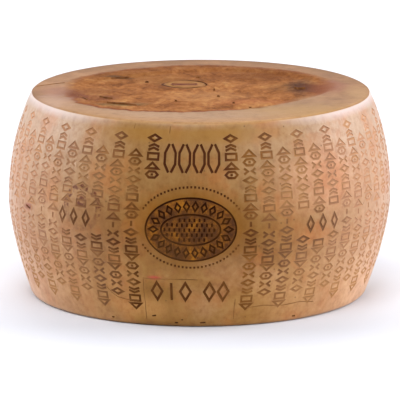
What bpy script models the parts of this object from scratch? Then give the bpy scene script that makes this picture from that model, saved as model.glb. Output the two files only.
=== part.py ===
"""A whole wheel of hard, long-aged cheese, standing on its flat base.

The wheel is one solid: a barrel-sided drum with crisp edges and a top face whose middle has
sunk a little inside a smooth rim. A round plate of casein lies flush in a recess in that face.
The front, with its burned oval and the frames above and below it, faces -Y. The origin is the
centre of the base, +Z is up, and all sizes are in metres.
"""

import math

import bpy
import bmesh

# The drum
WHEEL_DIAMETER = 0.440        # across the fullest part of the side
WHEEL_HEIGHT = 0.235
TOP_RADIUS = 0.1946           # where the side would meet the top face without its round
BASE_RADIUS = 0.1930
BELLY_HEIGHT = 0.110          # height of the fullest part
TOP_CURVE_POWER = 2.2         # how the side draws in above the belly
BASE_CURVE_POWER = 1.5        # and below it
TOP_EDGE_ROUND = 0.0035
BASE_EDGE_ROUND = 0.0045
LEAN = 0.012                  # sideways drift of the whole drum, for each metre of height

# Handmade unevenness of the side
SWELL = 0.0009                # greatest slow bulge of the rind
SWELL_LOBES = (2, 4, 10)      # bulges round the wheel: even counts keep the drum centred

# The sunk middle of the top face
LIP_RADIUS = 0.139            # mean radius of its lip
LIP_OVAL = 0.0142             # the lip is a rough oval,
LIP_OVAL_TURN = math.radians(39)
LIP_BACKWARD = 0.0065         # set a little towards the back,
LIP_WOBBLE = 0.0030           # with a wavy edge
LIP_WIDTH = 0.012
SUNK_DEPTH = 0.0026
FACE_RIPPLE = 0.0004

# The casein plate, pressed into the top face behind its centre
PLATE_CENTRE = (-0.0175, 0.047)
PLATE_LENGTH = 0.050
PLATE_WIDTH = 0.046
PLATE_THICKNESS = 0.0016
PLATE_SIDES = 40
FIT_GAP = 0.0003

# Marks pressed and burned into the front of the side
FRONT_ANGLE = math.radians(-92.6)   # the middle of the marked front, a little left of -Y
GROOVE_WIDTH = 0.0024
GROOVE_DEPTH = 0.0009
OVAL_HEIGHT = 0.1200                # height of the oval's centre
OVAL_HALF_SIZES = ((0.0515, 0.0360), (0.0335, 0.0175))
OVAL_POINTS = 40
FRAME_WIDTH = 0.0126                # between the middles of a frame's two sides
FRAME_SPLIT = 0.0030                # gap between the left and right half of a frame
UPPER_FRAMES = (-0.0258, -0.0086, 0.0086, 0.0258)
UPPER_SPAN = (0.1810, 0.2120)       # lowest and highest point of the row above the oval
UPPER_POINT = 0.0095                # height of each frame's pointed end
LOWER_LOZENGES = (-0.0400, -0.0060, 0.0226, 0.0390)
LOWER_BAR = -0.0226
LOWER_SPAN = (0.0335, 0.0545)
SIDE_GROUPS = (-0.1440, 0.1610)     # middle of each group of three lozenges
SIDE_PITCH = 0.0175
SIDE_SPAN = (0.1135, 0.1315)

# Facets
TURN_STEPS = 72
SIDE_STEPS = 16
EDGE_STEPS = 3
TOP_RINGS = (0.0, 0.030, 0.060, 0.085, 0.105, 0.118, 0.127, 0.136, 0.145, 0.154, 0.164, 0.178)
BASE_RINGS = (0.150, 0.100, 0.050, 0.0)


def barrel_radius(height):
    """Radius of the true barrel at a height, before its edges are rounded."""
    belly = WHEEL_DIAMETER / 2
    if height > BELLY_HEIGHT:
        rise = (height - BELLY_HEIGHT) / (WHEEL_HEIGHT - BELLY_HEIGHT)
        return belly - (belly - TOP_RADIUS) * rise ** TOP_CURVE_POWER
    fall = (BELLY_HEIGHT - height) / BELLY_HEIGHT
    return belly - (belly - BASE_RADIUS) * fall ** BASE_CURVE_POWER


def swell(angle, height):
    """How far the handmade side stands out from the true barrel."""
    level = height / WHEEL_HEIGHT
    wave = sum(math.sin(lobes * angle + 1.7 * index + 2.0 * level) / (index + 1)
               for index, lobes in enumerate(SWELL_LOBES))
    return SWELL * wave * math.sin(math.pi * min(max(level, 0.0), 1.0)) ** 0.5


def lip_radius(angle):
    """Radius of the sunk middle's lip in one direction."""
    return (LIP_RADIUS + LIP_OVAL * math.cos(2 * angle - LIP_OVAL_TURN)
            + LIP_BACKWARD * math.sin(angle) + LIP_WOBBLE * math.sin(5 * angle + 0.8))


def top_height(x, y):
    """Height of the top face at a place: level on the rim, lower and rippled in the middle."""
    inward = (lip_radius(math.atan2(y, x)) - math.hypot(x, y)) / LIP_WIDTH
    blend = min(max(inward, 0.0), 1.0)
    blend = blend * blend * (3 - 2 * blend)
    ripple = math.sin(60 * x + 1.0) * math.sin(75 * y) + 0.5 * math.sin(130 * x - 90 * y)
    return WHEEL_HEIGHT - blend * (SUNK_DEPTH + FACE_RIPPLE * ripple)


def drum_profile():
    """Half section of the true drum: out along the top, down the side, in along the base."""
    points = [(radius, WHEEL_HEIGHT) for radius in TOP_RINGS]
    quarter = [math.radians(90 * step / EDGE_STEPS) for step in range(EDGE_STEPS + 1)]
    for turn in reversed(quarter):
        height = WHEEL_HEIGHT - TOP_EDGE_ROUND * (1 - math.sin(turn))
        points.append((barrel_radius(height) - TOP_EDGE_ROUND * (1 - math.cos(turn)), height))
    side_top = WHEEL_HEIGHT - TOP_EDGE_ROUND
    for step in range(1, SIDE_STEPS):
        height = side_top + (BASE_EDGE_ROUND - side_top) * step / SIDE_STEPS
        points.append((barrel_radius(height), height))
    for turn in quarter:
        height = BASE_EDGE_ROUND * (1 - math.sin(turn))
        points.append((barrel_radius(height) - BASE_EDGE_ROUND * (1 - math.cos(turn)), height))
    points += [(radius, 0.0) for radius in BASE_RINGS]
    return points


def rind_point(angle, height, outward=0.0):
    """A place on the finished side, or a little outside it."""
    radius = barrel_radius(height) + swell(angle, height) + outward
    drift = LEAN * (height - BELLY_HEIGHT)
    return (radius * math.cos(angle) + drift, radius * math.sin(angle), height)


def front_point(across, height, outward=0.0):
    """A place on the marked front, from its distance round the belly right of the middle."""
    return rind_point(FRONT_ANGLE + across / (WHEEL_DIAMETER / 2), height, outward)


def material(name, colour, roughness):
    """A plain finish with the piece's own colour."""
    finish = bpy.data.materials.new(name)
    finish.use_nodes = True
    shader = finish.node_tree.nodes["Principled BSDF"]
    shader.inputs["Base Color"].default_value = (*colour, 1.0)
    shader.inputs["Roughness"].default_value = roughness
    shader.inputs["Metallic"].default_value = 0.0
    return finish


def add_object(name, data, collection):
    item = bpy.data.objects.new(name, data)
    collection.objects.link(item)
    return item


def evaluated_mesh(item):
    """The mesh of an object with its modifiers or bevel worked out."""
    graph = bpy.context.evaluated_depsgraph_get()
    return bpy.data.meshes.new_from_object(item.evaluated_get(graph))


def hide_guide(item):
    item.hide_render = True
    item.display_type = "WIRE"


def turned_drum(name, collection):
    """The drum turned from its half section, then made uneven by hand."""
    profile = bpy.data.meshes.new(name)
    points = drum_profile()
    edges = [(index, index + 1) for index in range(len(points) - 1)]
    profile.from_pydata([(radius, 0.0, height) for radius, height in points], edges, [])
    drum = add_object(name, profile, collection)
    screw = drum.modifiers.new("turn", "SCREW")
    screw.axis = "Z"
    screw.steps = TURN_STEPS
    screw.render_steps = TURN_STEPS
    screw.use_merge_vertices = True
    screw.merge_threshold = 0.0001
    bpy.context.view_layer.update()
    drum.data = evaluated_mesh(drum)
    drum.modifiers.clear()
    for vertex in drum.data.vertices:
        x, y, z = vertex.co
        angle, radius = math.atan2(y, x), math.hypot(x, y)
        if z > WHEEL_HEIGHT - 1e-6 and radius < TOP_RADIUS - TOP_EDGE_ROUND:
            z = top_height(x, y)
        share = radius / barrel_radius(z)
        radius += swell(angle, z) * share
        drift = LEAN * (z - BELLY_HEIGHT)
        vertex.co = (radius * math.cos(angle) + drift, radius * math.sin(angle), z)
    return drum


def oval_prism(name, length, width, bottom, top, collection):
    """An upright oval prism round the casein plate's centre."""
    mesh = bpy.data.meshes.new(name)
    form = bmesh.new()
    bmesh.ops.create_cone(form, cap_ends=True, segments=PLATE_SIDES, radius1=0.5, radius2=0.5, depth=1.0)
    bmesh.ops.scale(form, vec=(length, width, top - bottom), verts=form.verts)
    bmesh.ops.translate(form, vec=(*PLATE_CENTRE, (top + bottom) / 2), verts=form.verts)
    form.to_mesh(mesh)
    form.free()
    return add_object(name, mesh, collection)


def groove_cutter(name, places, closed, collection):
    """A round wire laid along the rind, through places given as (across, height)."""
    path = bpy.data.curves.new(name, "CURVE")
    path.dimensions = "3D"
    path.bevel_depth = GROOVE_WIDTH / 2
    path.bevel_resolution = 1
    path.use_fill_caps = not closed
    line = path.splines.new("POLY")
    line.points.add(len(places) - 1)
    line.use_cyclic_u = closed
    outward = GROOVE_WIDTH / 2 - GROOVE_DEPTH
    for point, (across, height) in zip(line.points, places):
        point.co = (*front_point(across, height, outward), 1.0)
    wire = add_object(name, path, collection)
    bpy.context.view_layer.update()
    mesh = evaluated_mesh(wire)
    form = bmesh.new()
    form.from_mesh(mesh)
    bmesh.ops.remove_doubles(form, verts=form.verts, dist=0.00001)
    bmesh.ops.recalc_face_normals(form, faces=form.faces)
    form.to_mesh(mesh)
    form.free()
    cutter = add_object(name + "_cutter", mesh, collection)
    bpy.data.objects.remove(wire)
    hide_guide(cutter)
    return cutter


def oval_places(half_width, half_height):
    turns = [2 * math.pi * index / OVAL_POINTS for index in range(OVAL_POINTS)]
    return [(half_width * math.cos(turn), OVAL_HEIGHT + half_height * math.sin(turn)) for turn in turns]


def half_frame_places(centre, side):
    """One half of a tall frame: a pointed end, a straight side and a pointed end."""
    bottom, top = UPPER_SPAN
    inner, outer = centre + side * FRAME_SPLIT / 2, centre + side * FRAME_WIDTH / 2
    return [(inner, top), (outer, top - UPPER_POINT), (outer, (top + bottom) / 2),
            (outer, bottom + UPPER_POINT), (inner, bottom)]


def lozenge_places(centre, span):
    bottom, top = span
    middle = (top + bottom) / 2
    return [(centre, top), (centre + FRAME_WIDTH / 2, middle),
            (centre, bottom), (centre - FRAME_WIDTH / 2, middle)]


def front_grooves(cutters):
    """The burned oval, the frames above it, and the lozenges below it and at its sides."""
    for half_width, half_height in OVAL_HALF_SIZES:
        groove_cutter("oval_groove", oval_places(half_width, half_height), True, cutters)
    for centre in UPPER_FRAMES:
        for side in (-1, 1):
            groove_cutter("frame_groove", half_frame_places(centre, side), False, cutters)
    lozenges = [(centre, LOWER_SPAN) for centre in LOWER_LOZENGES]
    lozenges += [(middle + step * SIDE_PITCH, SIDE_SPAN) for middle in SIDE_GROUPS for step in (-1, 0, 1)]
    for centre, span in lozenges:
        groove_cutter("lozenge_groove", lozenge_places(centre, span), True, cutters)
    groove_cutter("bar_groove", [(LOWER_BAR, height) for height in LOWER_SPAN], False, cutters)


def cut(body, cutters):
    """Cut the body by every object of a collection."""
    boolean = body.modifiers.new("cut", "BOOLEAN")
    boolean.operation = "DIFFERENCE"
    boolean.solver = "EXACT"
    boolean.operand_type = "COLLECTION"
    boolean.collection = cutters


def smooth(item, degrees):
    item.data.shade_smooth()
    item.data.set_sharp_from_angle(angle=math.radians(degrees))


def build():
    for item in list(bpy.data.objects):
        bpy.data.objects.remove(item, do_unlink=True)
    parts = bpy.data.collections.new("cheese_wheel")
    cutters = bpy.data.collections.new("cutters")
    for collection in (parts, cutters):
        bpy.context.scene.collection.children.link(collection)

    wheel = turned_drum("wheel", parts)
    wheel.data.materials.append(material("natural_rind", (0.47, 0.26, 0.11), 0.5))
    smooth(wheel, 40)

    plate_top = WHEEL_HEIGHT - SUNK_DEPTH
    plate_bottom = plate_top - PLATE_THICKNESS
    recess = oval_prism("plate_recess", PLATE_LENGTH + 2 * FIT_GAP, PLATE_WIDTH + 2 * FIT_GAP,
                        plate_bottom - FIT_GAP, WHEEL_HEIGHT + SUNK_DEPTH, cutters)
    hide_guide(recess)
    front_grooves(cutters)
    cut(wheel, cutters)

    plate = oval_prism("casein_plate", PLATE_LENGTH, PLATE_WIDTH, plate_bottom, plate_top, parts)
    plate.data.materials.append(material("pressed_casein", (0.42, 0.30, 0.12), 0.55))
    smooth(plate, 30)


build()
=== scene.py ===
# %% [markdown]
# A whole wheel of hard cheese, seen from the front and a little above.
#
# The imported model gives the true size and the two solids: the wheel and the casein plate that
# is pressed into its top face. This script gives them their surface: the rind with its pressed
# marks, the burned oval, the stained top, and the plate. Sizes are metres unless a comment says mm.

import math

import bpy
import bmesh
import numpy as np
from mathutils import Matrix, Vector, noise


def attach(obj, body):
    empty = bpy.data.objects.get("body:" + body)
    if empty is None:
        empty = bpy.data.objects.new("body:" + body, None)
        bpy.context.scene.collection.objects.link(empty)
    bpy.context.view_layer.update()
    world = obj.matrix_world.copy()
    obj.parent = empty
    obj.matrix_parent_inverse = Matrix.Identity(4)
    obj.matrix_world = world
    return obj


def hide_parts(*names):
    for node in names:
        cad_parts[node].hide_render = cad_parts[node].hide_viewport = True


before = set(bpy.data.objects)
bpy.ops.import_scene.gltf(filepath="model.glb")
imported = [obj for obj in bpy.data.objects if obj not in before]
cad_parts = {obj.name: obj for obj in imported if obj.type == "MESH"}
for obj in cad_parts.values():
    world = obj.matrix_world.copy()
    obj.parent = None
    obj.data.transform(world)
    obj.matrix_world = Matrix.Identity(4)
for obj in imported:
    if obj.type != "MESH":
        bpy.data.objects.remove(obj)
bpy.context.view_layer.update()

# %% [markdown]
# The drum is a barrel: widest at its belly, drawn in towards both faces. These are the
# same driving sizes as the solid has, so what is made here lies exactly on it. The top has a
# sunk middle inside a wavy oval lip, and a faint ripple.

# %% Sizes of the drum
MM = 0.001
BELLY_RADIUS = 0.220
WHEEL_HEIGHT = 0.235
TOP_RADIUS = 0.1946
BASE_RADIUS = 0.1930
BELLY_HEIGHT = 0.110
TOP_CURVE_POWER = 2.2
BASE_CURVE_POWER = 1.5
TOP_EDGE_ROUND = 0.0035
BASE_EDGE_ROUND = 0.0045
LEAN = 0.012
SWELL = 0.0009
SWELL_LOBES = (2, 4, 10)

# %% Sizes of the sunk middle of the top face
LIP_RADIUS = 0.139
LIP_OVAL = 0.0142
LIP_OVAL_TURN = math.radians(39)
LIP_BACKWARD = 0.0065
LIP_WOBBLE = 0.0030
LIP_WIDTH = 0.012
SUNK_DEPTH = 0.0026
FACE_RIPPLE = 0.0004

# %% The rules of its form


def barrel_radius(height):
    if height > BELLY_HEIGHT:
        rise = (height - BELLY_HEIGHT) / (WHEEL_HEIGHT - BELLY_HEIGHT)
        return BELLY_RADIUS - (BELLY_RADIUS - TOP_RADIUS) * rise ** TOP_CURVE_POWER
    fall = (BELLY_HEIGHT - height) / BELLY_HEIGHT
    return BELLY_RADIUS - (BELLY_RADIUS - BASE_RADIUS) * fall ** BASE_CURVE_POWER


def swell(angle, height):
    level = height / WHEEL_HEIGHT
    wave = sum(math.sin(lobes * angle + 1.7 * index + 2.0 * level) / (index + 1)
               for index, lobes in enumerate(SWELL_LOBES))
    return SWELL * wave * math.sin(math.pi * min(max(level, 0.0), 1.0)) ** 0.5


def lip_radius(angle):
    return (LIP_RADIUS + LIP_OVAL * math.cos(2 * angle - LIP_OVAL_TURN)
            + LIP_BACKWARD * math.sin(angle) + LIP_WOBBLE * math.sin(5 * angle + 0.8))


def top_height(x, y):
    inward = (lip_radius(math.atan2(y, x)) - math.hypot(x, y)) / LIP_WIDTH
    blend = min(max(inward, 0.0), 1.0)
    blend = blend * blend * (3 - 2 * blend)
    ripple = math.sin(60 * x + 1.0) * math.sin(75 * y) + 0.5 * math.sin(130 * x - 90 * y)
    return WHEEL_HEIGHT - blend * (SUNK_DEPTH + FACE_RIPPLE * ripple)


print("lip of the sunk middle, front and right:",
      [round(lip_radius(angle), 4) for angle in (-math.pi / 2, 0)])

# %% [markdown]
# A turned body needs only half its outline. The Screw modifier spins it round Z. The rings are
# 4 mm apart on the top and 5 mm on the side, because the marks are cut into this mesh later and
# the rough middle of the top gets its own small hollows.

# %% Turn the drum
TURN_STEPS = 264
RING_STEP = 0.0038
SIDE_STEP = 0.0048
BASE_RING_STEP = 0.016
EDGE_STEPS = 5
MERGE_DISTANCE = 0.00005


def spread(start, end, step):
    """Evenly spaced numbers from start towards end, without the end."""
    count = max(1, round(abs(end - start) / step))
    return [start + (end - start) * index / count for index in range(count)]


def drum_profile():
    points = [(radius, WHEEL_HEIGHT) for radius in spread(0.0, TOP_RADIUS - TOP_EDGE_ROUND, RING_STEP)]
    quarter = [math.radians(90 * step / EDGE_STEPS) for step in range(EDGE_STEPS + 1)]
    for turn in reversed(quarter):
        height = WHEEL_HEIGHT - TOP_EDGE_ROUND * (1 - math.sin(turn))
        points.append((barrel_radius(height) - TOP_EDGE_ROUND * (1 - math.cos(turn)), height))
    side = spread(WHEEL_HEIGHT - TOP_EDGE_ROUND, BASE_EDGE_ROUND, SIDE_STEP)[1:]
    points += [(barrel_radius(height), height) for height in side]
    for turn in quarter:
        height = BASE_EDGE_ROUND * (1 - math.sin(turn))
        points.append((barrel_radius(height) - BASE_EDGE_ROUND * (1 - math.cos(turn)), height))
    points += [(radius, 0.0) for radius in spread(BASE_RADIUS - BASE_EDGE_ROUND, 0.0, BASE_RING_STEP)[1:]]
    return points + [(0.0, 0.0)]


def add_object(name, data):
    item = bpy.data.objects.new(name, data)
    bpy.context.scene.collection.objects.link(item)
    return item


def plain_mesh(item):
    """Replace an object's live modifiers by the mesh that they make."""
    bpy.context.view_layer.update()
    graph = bpy.context.evaluated_depsgraph_get()
    mesh = bpy.data.meshes.new_from_object(item.evaluated_get(graph))
    item.modifiers.clear()
    item.data = mesh


def mesh_of(form, name):
    """Close a bmesh into a new mesh whose faces point outwards."""
    bmesh.ops.recalc_face_normals(form, faces=form.faces)
    mesh = bpy.data.meshes.new(name)
    form.to_mesh(mesh)
    form.free()
    return mesh


def face_outwards(mesh):
    """Make the faces of a closed mesh point outwards, and give its volume."""
    form = bmesh.new()
    form.from_mesh(mesh)
    bmesh.ops.recalc_face_normals(form, faces=form.faces)
    if form.calc_volume(signed=True) < 0:
        bmesh.ops.reverse_faces(form, faces=form.faces)
    volume = form.calc_volume(signed=True)
    form.to_mesh(mesh)
    form.free()
    return volume


profile = bpy.data.meshes.new("rind")
outline = drum_profile()
profile.from_pydata([(radius, 0.0, height) for radius, height in outline],
                    [(index, index + 1) for index in range(len(outline) - 1)], [])
rind = add_object("rind", profile)
screw = rind.modifiers.new("turn", "SCREW")
screw.steps = screw.render_steps = TURN_STEPS
screw.use_merge_vertices = True
screw.merge_threshold = MERGE_DISTANCE
plain_mesh(rind)
litres = face_outwards(rind.data) * 1000
print("turned drum:", len(rind.data.polygons), "faces,", round(litres, 2), "litres")

# %% [markdown]
# While the cheese is young, a stencil of raised marks is strapped round it, and it leaves
# columns of small grooves in the rind for good. Here the grooves are cut the same way: each
# mark is a small flat punch, and the punches are set out on a flat strip, wrapped round
# the drum, and cut from it.
#
# A punch follows a line through a few places given as (across, up) in mm. It is a mitred
# ribbon with sloping walls, narrow at the bottom of the groove.

# %% Punches
LID = 1.6 * MM               # how far a punch stands out of the rind
FLOOR_SHARE = 0.5            # width of a groove's floor as a share of its mouth
SHARPEST_MITRE = 0.3         # keeps the corner of a sharp mitre from running far out
MARK_WIDTH = 2.7 * MM
MARK_DEPTH = 0.7 * MM


def ribbon(places, closed, width, trim=0.0):
    """Left and right edges of a mitred ribbon along places in the flat plane."""
    count = len(places)
    points = [Vector(place) for place in places]
    edges = []
    for index, point in enumerate(points):
        before = points[index - 1] if closed or index else None
        after = points[(index + 1) % count] if closed or index < count - 1 else None
        into = (point - before).normalized() if before is not None else (after - point).normalized()
        out = (after - point).normalized() if after is not None else into
        along = (into + out).normalized()
        across = Vector((-along.y, along.x))
        reach = width / 2 / max(across.dot(Vector((-into.y, into.x))), SHARPEST_MITRE)
        if not closed and index in (0, count - 1):
            point = point + along * (trim if index == 0 else -trim)
        edges.append((point + across * reach, point - across * reach))
    return edges


def punch(form, places, closed, width, depth):
    """Add one closed punch to a bmesh. The flat strip is the XZ plane, and -Y is outwards."""
    narrow = width * FLOOR_SHARE
    mouth = ribbon(places, closed, width)
    floor = ribbon(places, closed, narrow, (width - narrow) / 2)
    rings = [[[form.verts.new((edge.x, -out, edge.y)) for edge in pair] for pair in edges]
             for out, edges in ((LID, mouth), (0.0, mouth), (-depth, floor))]
    count = len(places)
    for index in range(count if closed else count - 1):
        after = (index + 1) % count
        for upper, lower in zip(rings, rings[1:]):
            for hand in (0, 1):
                form.faces.new((upper[index][hand], upper[after][hand],
                                lower[after][hand], lower[index][hand]))
        for level in (rings[0], rings[-1]):
            form.faces.new((level[index][0], level[after][0], level[after][1], level[index][1]))
    if not closed:
        for index in (0, count - 1):
            for upper, lower in zip(rings, rings[1:]):
                form.faces.new((upper[index][0], upper[index][1], lower[index][1], lower[index][0]))


def punch_mesh(name, lines, width=MARK_WIDTH, depth=MARK_DEPTH):
    """One mesh of several punches. Each line is (places, closed)."""
    form = bmesh.new()
    for places, closed in lines:
        punch(form, [(across * MM, up * MM) for across, up in places], closed, width, depth)
    return mesh_of(form, name)


# %% [markdown]
# The small marks are 14 mm across the column and 7 mm along it. They are plain figures: lozenge,
# chevrons, box, triangle, eye, a pair of angles and a dash. Their corners are set so that no
# groove meets the next one.

# %% The small marks
SMALL_MARKS = {
    "mark_0_lozenge": [([(-6.9, 0), (0, 3.5), (6.9, 0), (0, -3.5)], True)],
    "mark_1_chevrons": [([(-6.6, 0.5), (0, 3.1), (6.6, 0.5)], False),
                        ([(-6.6, -3.1), (0, -0.5), (6.6, -3.1)], False)],
    "mark_2_box": [([(-6.4, -3.3), (6.4, -3.3), (6.4, 3.3), (-6.4, 3.3)], True)],
    "mark_3_triangle": [([(-6.8, -3.2), (6.8, -3.2), (0, 3.0)], True)],
    "mark_4_eye": [([(-6.9, 0), (-3.6, 3.3), (3.6, 3.3), (6.9, 0), (3.6, -3.3), (-3.6, -3.3)], True),
                   ([(-1.5, 0), (1.5, 0)], False)],
    "mark_5_angles": [([(-6.9, 3.2), (-2.4, 0), (-6.9, -3.2)], False),
                      ([(6.9, -3.2), (2.4, 0), (6.9, 3.2)], False)],
    "mark_6_dash": [([(0, -3.0), (0, 3.0)], False)],
}
DASH = len(SMALL_MARKS) - 1

marks = bpy.data.collections.new("small_marks")
for name, lines in SMALL_MARKS.items():
    marks.objects.link(bpy.data.objects.new(name, punch_mesh(name, lines)))

# %% [markdown]
# The front carries larger figures: four tall frames split down the middle, a burned oval inside
# two dotted arcs, and a row of lozenges. Three lozenges stand at each side. All of them are
# measured in mm from the middle of the marked front, which lies a little left of the true front.

# %% Sizes of the front figures
FRONT_ANGLE = math.radians(-92.6)
BOLD_WIDTH = 3.0 * MM
BOLD_DEPTH = 1.0 * MM
FRAME_WIDTH = 12.6
FRAME_SPLIT = 3.0
UPPER_FRAMES = (-25.8, -8.6, 8.6, 25.8)
UPPER_SPAN = (181.0, 212.0)
UPPER_POINT = 9.5
LOWER_LOZENGES = (-40.0, -6.0, 22.6, 39.0)
LOWER_BAR = -22.6
LOWER_SPAN = (33.5, 54.5)
SIDE_GROUPS = ((-144.0, 122.5), (161.0, 115.9))
SIDE_PITCH = 17.5
SIDE_WIDTH = 8.6
SIDE_RISE = 7.75
OVAL_CENTRE = 117.5
ARC_CENTRE = 119.5
OVAL_HALF_SIZES = ((51.5, 36.0), (33.5, 17.5))
OVAL_POINTS = 72

# %% Punches for the bold figures


def half_frame(centre, side):
    bottom, top = UPPER_SPAN
    inner, outer = centre + side * FRAME_SPLIT / 2, centre + side * FRAME_WIDTH / 2
    return [(inner, top), (outer, top - UPPER_POINT), (outer, bottom + UPPER_POINT), (inner, bottom)]


def lozenge(centre, span, width=FRAME_WIDTH):
    bottom, top = span
    middle = (top + bottom) / 2
    return [(centre, top), (centre + width / 2, middle), (centre, bottom), (centre - width / 2, middle)]


def ellipse(centre, half_width, half_height, count):
    turns = [2 * math.pi * index / count for index in range(count)]
    return [(centre[0] + half_width * math.cos(turn), centre[1] + half_height * math.sin(turn))
            for turn in turns]


bold_lines = [(half_frame(centre, side), False) for centre in UPPER_FRAMES for side in (-1, 1)]
bold_lines += [(lozenge(centre, LOWER_SPAN), True) for centre in LOWER_LOZENGES]
bold_lines += [(lozenge(middle + step * SIDE_PITCH, (height - SIDE_RISE, height + SIDE_RISE),
                        SIDE_WIDTH), True)
               for middle, height in SIDE_GROUPS for step in (-1, 0, 1)]
bold_lines += [([(LOWER_BAR, height) for height in LOWER_SPAN], False)]
stencil = add_object("stencil", punch_mesh("stencil", bold_lines, BOLD_WIDTH, BOLD_DEPTH))
print("bold figures:", len(bold_lines), "punches")

# %% [markdown]
# Geometry Nodes set out everything that repeats. One tree does four things: it lays the
# columns of small marks on the flat strip, it runs pins along the two dotted arcs and petals
# round the oval, it adds them to the bold punches, and it wraps the whole strip round
# the barrel. A wrap is one Set Position: across becomes an angle, up stays up, and depth is
# taken from the barrel's radius at that height.

# %% One helper that adds a node


def linear(colour):
    """An sRGB hex colour as the linear colour that Blender works with."""
    parts = [int(colour[index:index + 2], 16) / 255 for index in (1, 3, 5)]
    return [part / 12.92 if part <= 0.04045 else ((part + 0.055) / 1.055) ** 2.4 for part in parts] + [1.0]


def node(tree, kind, *values, stops=None, **settings):
    """Add a node with its settings. Values fill its live inputs in order, a dict fills them by name.
    A value is a number, a hex colour, a socket, or a node whose first live output is meant.
    A kind in capitals is what a Math node does, and one with no prefix is a shader node. Stops
    are a colour ramp's."""
    if kind.isupper():
        kind, settings = "Math", {"operation": kind}
    made = tree.nodes.new(kind if "Node" in kind else "ShaderNode" + kind)
    for key, value in settings.items():
        setattr(made, key, value)
    for index, (position, colour) in enumerate(stops or ()):
        elements = made.color_ramp.elements
        element = elements[index] if index < len(elements) else elements.new(position)
        element.position, element.color = position, linear(colour)
    live = [socket for socket in made.inputs if socket.enabled]
    filled = []
    for value in values:
        filled += ([(made.inputs[key], item) for key, item in value.items()]
                   if isinstance(value, dict) else [(live[len(filled)], value)])
    for socket, value in filled:
        if isinstance(value, bpy.types.Node):
            value = next(output for output in value.outputs if output.enabled)
        if isinstance(value, bpy.types.NodeSocket):
            tree.links.new(value, socket)
        elif value is not None:
            socket.default_value = linear(value) if isinstance(value, str) and value[0] == "#" else value
    return made


# %% Materials, still empty, because the trees hand them to the punches


def new_material(name):
    """A material with an empty tree, and that tree."""
    material = bpy.data.materials.new(name)
    material.use_nodes = True
    material.node_tree.nodes.clear()
    return material, material.node_tree


side_material, side_tree = new_material("natural_cheese_rind_brined_and_oiled")
top_material, top_tree = new_material("natural_cheese_rind_dried_rough")
groove_material, groove_tree = new_material("pressed_mark_darkened_by_ageing")
crease_material, crease_tree = new_material("fine_crease_in_dry_rind")
pit_material, pit_tree = new_material("dried_pit_in_old_rind")

# %% Sizes of the layout: metres and counts
COLUMNS = 60
FIRST_COLUMN = 46.53 * MM
SIDE_LENGTH = 2 * math.pi * BELLY_RADIUS
LAYOUT_SIZES = {
    "Columns": COLUMNS,
    "Rows": 19,
    "First column": FIRST_COLUMN,
    "Column pitch": (SIDE_LENGTH - 2 * FIRST_COLUMN) / (COLUMNS - 1),
    "Row pitch": 9.85 * MM,
    "Lowest row of even columns": 40.3 * MM,
    "Drop of odd columns": 16.5 * MM,
    "Rows under an even dash": 8,
    "Rows under an odd dash": 10,
    "Rows missing by the frames": 14,
    "Clear half width": 33.1 * MM,
    "Clear half height": 15.3 * MM,
    "Shallowest mark": 0.55,
    "Arc half width": 61.0 * MM,
    "Arc half height": 46.0 * MM,
    "Arc pins": 76,
    "Arc end": 55 * MM,
    "Petals": 22,
    "Lattice pitch": 5.6 * MM,
    "Seed": 4,
}


def new_layout(name, things, sizes):
    """A Geometry Nodes tree that makes punches, with named inputs, and its inputs' sockets."""
    tree = bpy.data.node_groups.new(name, "GeometryNodeTree")
    for label, kind in things.items():
        tree.interface.new_socket(label, in_out="INPUT", socket_type="NodeSocket" + kind)
    for label, size in sizes.items():
        kind = "NodeSocketInt" if isinstance(size, int) else "NodeSocketFloat"
        tree.interface.new_socket(label, in_out="INPUT", socket_type=kind).default_value = size
    tree.interface.new_socket("Punches", in_out="OUTPUT", socket_type="NodeSocketGeometry")
    return tree, tree.nodes.new("NodeGroupInput").outputs


stencil_tree, given = new_layout(
    "lay out and wrap the stencil",
    {"Bold punches": "Geometry", "Small marks": "Collection", "Pin": "Object", "Petal": "Object",
     "Stitch": "Object", "Rings": "Object"}, LAYOUT_SIZES)
print("stencil tree:", len(given) - 1, "inputs")

# %% The columns


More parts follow.
